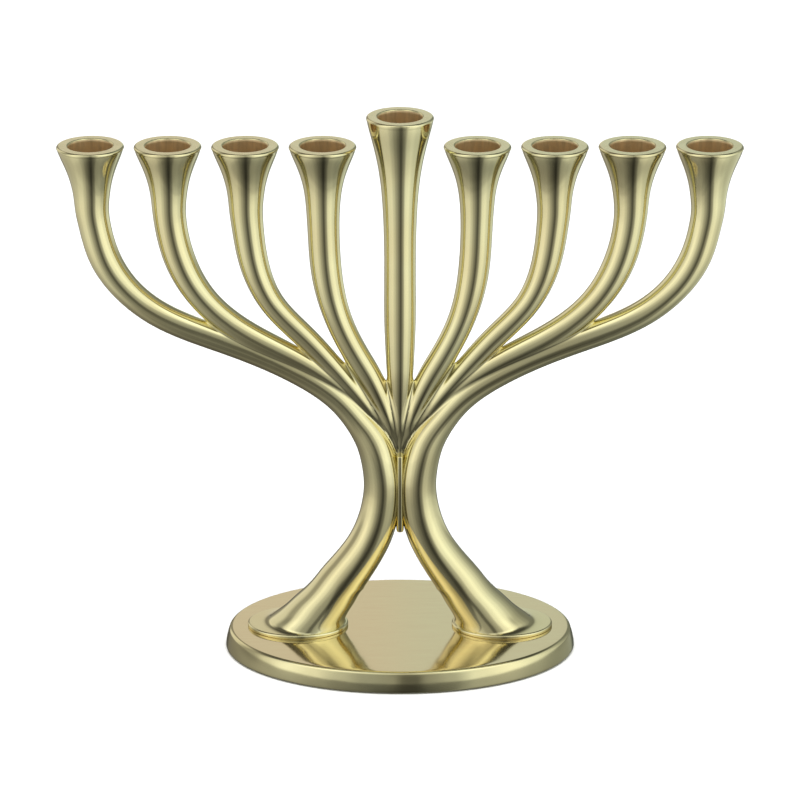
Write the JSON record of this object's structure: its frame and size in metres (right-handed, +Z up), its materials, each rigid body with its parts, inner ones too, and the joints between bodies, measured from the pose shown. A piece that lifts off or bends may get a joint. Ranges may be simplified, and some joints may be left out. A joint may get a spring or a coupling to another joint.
{
  "type": "menorah",
  "caption": "Table menorah: a row of trumpet-mouthed candle cups on curved arms that gather at a waist and part into two splayed legs on an oval base.",
  "frame": {"origin": "on the table surface, under the middle of the oval base", "axes": "+X along the row of cups, to the right seen from the front; -Y is the front; +Z up"},
  "size_m": [0.1996, 0.0712, 0.1682],
  "materials": {
    "plated_casting": "polished pale gold plating on a casting",
    "plated_base": "pale gold plating, finely brushed on top",
    "steel": "zinc-plated",
    "felt": "pressed felt"
  },
  "bodies": {
    "root": {"arm_1_with_leg": "plated_casting", "arm_2": "plated_casting", "arm_3": "plated_casting", "arm_4": "plated_casting", "servant_stem": "plated_casting", "arm_6": "plated_casting", "arm_7": "plated_casting", "arm_8": "plated_casting", "arm_9_with_leg": "plated_casting", "waist_bar": "plated_casting", "base_plate": "plated_base", "felt_pad": "felt", "leg_screw_left": "steel", "leg_washer_left": "steel", "locating_pin_left": "steel", "leg_screw_right": "steel", "leg_washer_right": "steel", "locating_pin_right": "steel"}
  },
  "joints": []
}
